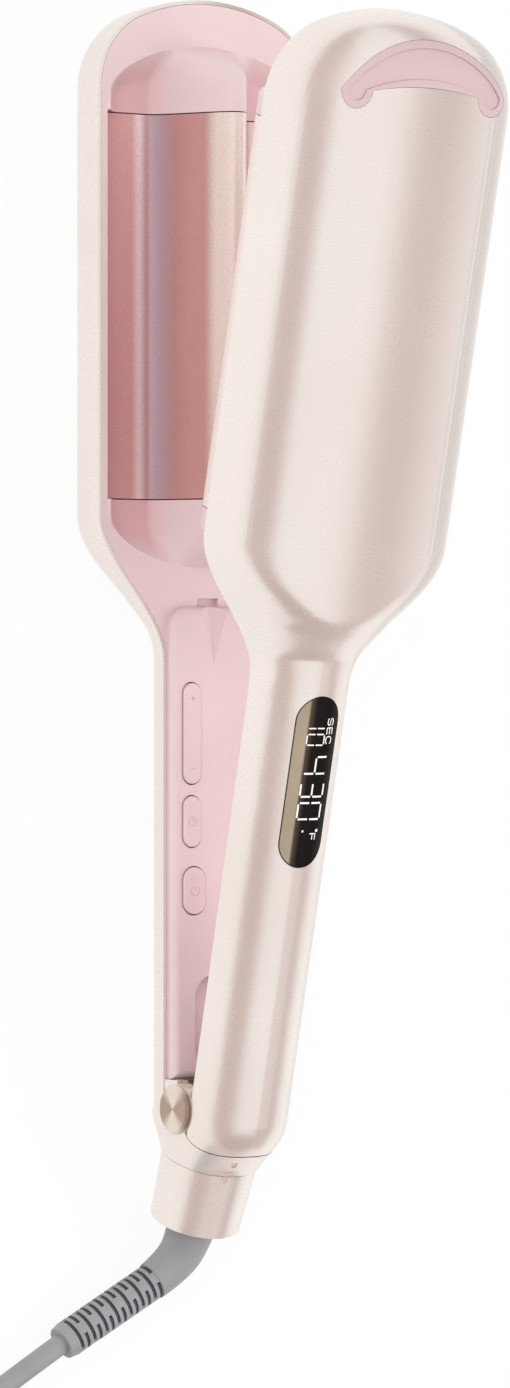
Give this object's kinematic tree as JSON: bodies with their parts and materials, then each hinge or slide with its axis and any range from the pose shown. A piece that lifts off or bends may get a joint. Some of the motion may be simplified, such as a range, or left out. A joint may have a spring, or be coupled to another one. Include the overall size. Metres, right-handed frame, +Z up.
{
  "type": "hair waver",
  "caption": "Hair waver with two sprung arms, wide heads with wave-shaped heated plates, a display, buttons, a lock ring and a coiled mains cord.",
  "frame": {"origin": "middle of the flat outer face of the lower head, on which the waver lies", "axes": "+X along the lower arm towards the head's tip, +Y along the hinge axis towards the display and button side, +Z up out of the lower head"},
  "size_m": [0.4501, 0.1372, 0.1094],
  "materials": {
    "champagne_shell": "pearl",
    "pink_plastic": "satin",
    "pink_button": "satin",
    "rose_plate": "gloss coating",
    "heater_block": "plain",
    "insulator": "film",
    "spring_steel": "plain",
    "fuse": "ceramic body",
    "dark_plastic": "moulded",
    "screw_steel": "zinc",
    "lead_wire": "sleeved",
    "circuit_board": "resist",
    "hinge_cap": "turned",
    "bush": "plain",
    "display_glass": "gloss",
    "grey_rubber": "satin",
    "tie_strap": "matt",
    "plug_plastic": "satin",
    "blade_metal": "plated"
  },
  "bodies": {
    "lower_arm": {"lower_shell": "champagne_shell", "lower_inner_cover": "pink_plastic", "lower_tip_insert": "pink_plastic", "lower_heat_plate": "rose_plate", "lower_heater": "heater_block", "lower_insulator": "insulator", "lower_heater_clamp": "spring_steel", "jaw_spring": "spring_steel", "hinge_pin": "spring_steel", "lower_thermal_fuse": "fuse", "lower_plate_carrier": "dark_plastic", "swivel_bush": "dark_plastic", "tact_switches": "dark_plastic", "lower_plate_screws": "screw_steel", "lower_heater_leads": "lead_wire", "control_board": "circuit_board", "left_hinge_cap": "hinge_cap", "right_hinge_cap": "hinge_cap", "cord_guard": "grey_rubber", "cord_lead": "grey_rubber", "cord_coil": "grey_rubber", "cord_tail": "grey_rubber", "cord_tie": "tie_strap", "plug_body": "plug_plastic", "plug_blades": "blade_metal"},
    "upper_arm": {"upper_shell": "champagne_shell", "upper_inner_cover": "pink_plastic", "upper_tip_insert": "pink_plastic", "upper_heat_plate": "rose_plate", "upper_heater": "heater_block", "upper_insulator": "insulator", "upper_heater_clamp": "spring_steel", "upper_thermal_fuse": "fuse", "upper_plate_carrier": "dark_plastic", "upper_plate_screws": "screw_steel", "upper_heater_leads": "lead_wire", "display_lens": "display_glass", "display_module": "dark_plastic", "display_board": "circuit_board", "hinge_block": "champagne_shell", "hinge_bushes": "bush", "guide_fin": "pink_plastic"},
    "rocker": {"temperature_rocker": "pink_button"},
    "timer": {"timer_button": "pink_button"},
    "power": {"power_button": "pink_button"},
    "lock": {"lock_ring": "champagne_shell"}
  },
  "joints": [
    {"name": "jaw_hinge", "type": "hinge", "parent": "lower_arm", "child": "upper_arm", "pos_m": [-0.206, 0, 0.0238], "axis": [0, 1, 0], "range_deg": [0, 13.6], "stiffness_Nm_per_rad": 1.2, "springref_deg": -28.65, "deforming": ["jaw_spring"]},
    {"name": "temperature_rock", "type": "hinge", "parent": "lower_arm", "child": "rocker", "pos_m": [-0.1126, 0.0068, 0.0176], "axis": [0, 1, 0], "range_deg": [-2.6, 2.6], "stiffness_Nm_per_rad": 0.05},
    {"name": "timer_press", "type": "slide", "parent": "lower_arm", "child": "timer", "axis": [0, 0, -1], "range_m": [0, 0.0006], "stiffness_N_per_m": 400, "springref_m": -0.001},
    {"name": "power_press", "type": "slide", "parent": "lower_arm", "child": "power", "axis": [0, 0, -1], "range_m": [0, 0.0006], "stiffness_N_per_m": 400, "springref_m": -0.001},
    {"name": "lock_turn", "type": "hinge", "parent": "lower_arm", "child": "lock", "pos_m": [-0.206, 0, 0.0238], "axis": [-0.9304, 0, -0.3665], "range_deg": [0, 35]}
  ]
}
